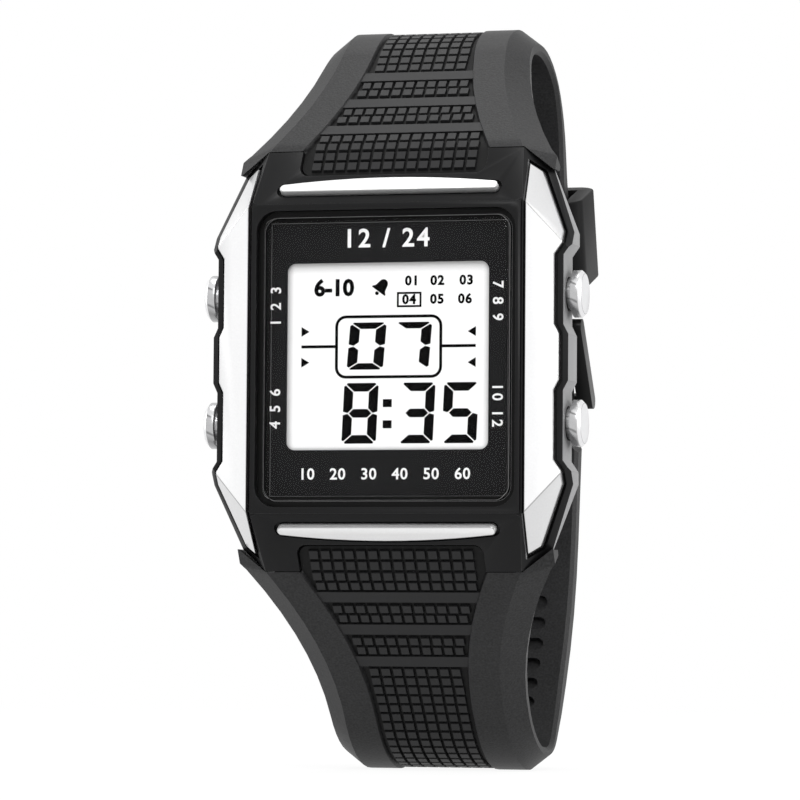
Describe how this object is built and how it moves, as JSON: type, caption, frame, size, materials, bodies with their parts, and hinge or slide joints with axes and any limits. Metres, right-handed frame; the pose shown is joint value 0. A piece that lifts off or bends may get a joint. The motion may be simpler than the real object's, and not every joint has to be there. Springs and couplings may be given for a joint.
{
  "type": "digital watch",
  "caption": "Rectangular digital wristwatch with a moulded case, bright side panels, push buttons and a closed resin strap with buckle and sliding keeper.",
  "frame": {"origin": "middle of the bounding box in X and Y, at the lowest point of the strap loop", "axes": "+X towards 3 o'clock, +Z towards 12 o'clock, the dial faces -Y"},
  "size_m": [0.0406, 0.0512, 0.08],
  "materials": {
    "case_resin": "satin black resin",
    "cover_resin": "fine satin black resin",
    "bright_trim": "bright plated",
    "window": "clear polished window",
    "dial_print": "black print",
    "display": "pale display",
    "light_plate": "clear pale plastic",
    "pink_rubber": "layered connector rubber",
    "ivory_plastic": "moulded ivory plastic",
    "board_green": "green board",
    "chip_black": "black potting",
    "steel": "plain steel",
    "brass": "plain brass",
    "steel_back": "brushed plate",
    "black_rubber": "soft seal rubber",
    "button_chrome": "bright plated",
    "strap_resin": "matte black resin",
    "buckle_black": "black coated"
  },
  "bodies": {
    "watch": {"case_body": "case_resin", "front_bezel": "cover_resin", "left_side_trim": "bright_trim", "right_side_trim": "bright_trim", "top_accent_bar": "bright_trim", "bottom_accent_bar": "bright_trim", "crystal": "window", "dial_mask": "dial_print", "display_panel": "display", "light_guide": "light_plate", "upper_zebra_strip": "pink_rubber", "lower_zebra_strip": "pink_rubber", "module_frame": "ivory_plastic", "circuit_board": "board_green", "display_chip": "chip_black", "crystal_can": "steel", "lamp_diode": "light_plate", "contact_plate": "steel", "coin_cell": "steel", "module_screws": "steel", "buzzer_spring": "brass", "buzzer_disc": "brass", "case_back": "steel_back", "back_gasket": "black_rubber", "back_screws": "steel", "upper_spring_bar": "steel", "lower_spring_bar": "steel", "upper_strap": "strap_resin", "lower_strap": "strap_resin", "buckle_bar": "steel", "upper_left_spring": "steel", "upper_right_spring": "steel", "lower_left_spring": "steel", "lower_right_spring": "steel"},
    "upper_left_push": {"upper_left_button": "button_chrome", "upper_left_seal": "black_rubber", "upper_left_clip": "steel"},
    "upper_right_push": {"upper_right_button": "button_chrome", "upper_right_seal": "black_rubber", "upper_right_clip": "steel"},
    "lower_left_push": {"lower_left_button": "button_chrome", "lower_left_seal": "black_rubber", "lower_left_clip": "steel"},
    "lower_right_push": {"lower_right_button": "button_chrome", "lower_right_seal": "black_rubber", "lower_right_clip": "steel"},
    "keeper": {"keeper": "strap_resin"},
    "buckle_frame": {"buckle_frame": "buckle_black"},
    "buckle_tongue": {"buckle_tongue": "buckle_black"}
  },
  "joints": [
    {"name": "upper_left_press", "type": "slide", "parent": "watch", "child": "upper_left_push", "axis": [1, 0, 0], "range_m": [0, 0.0005], "stiffness_N_per_m": 400, "springref_m": -0.001, "deforming": ["upper_left_spring"]},
    {"name": "upper_right_press", "type": "slide", "parent": "watch", "child": "upper_right_push", "axis": [-1, 0, 0], "range_m": [0, 0.0005], "stiffness_N_per_m": 400, "springref_m": -0.001, "deforming": ["upper_right_spring"]},
    {"name": "lower_left_press", "type": "slide", "parent": "watch", "child": "lower_left_push", "axis": [1, 0, 0], "range_m": [0, 0.0005], "stiffness_N_per_m": 400, "springref_m": -0.001, "deforming": ["lower_left_spring"]},
    {"name": "lower_right_press", "type": "slide", "parent": "watch", "child": "lower_right_push", "axis": [-1, 0, 0], "range_m": [0, 0.0005], "stiffness_N_per_m": 400, "springref_m": -0.001, "deforming": ["lower_right_spring"]},
    {"name": "keeper_slide", "type": "slide", "parent": "watch", "child": "keeper", "axis": [0, 0.2924, -0.9563], "range_m": [-0.0045, 0.0034]},
    {"name": "buckle_frame_hinge", "type": "hinge", "parent": "watch", "child": "buckle_frame", "pos_m": [0, 0.01741, 0.04925], "axis": [1, 0, 0], "range_deg": [0, 1]},
    {"name": "buckle_tongue_hinge", "type": "hinge", "parent": "watch", "child": "buckle_tongue", "pos_m": [0, 0.01741, 0.04925], "axis": [1, 0, 0], "range_deg": [0, 2]}
  ]
}
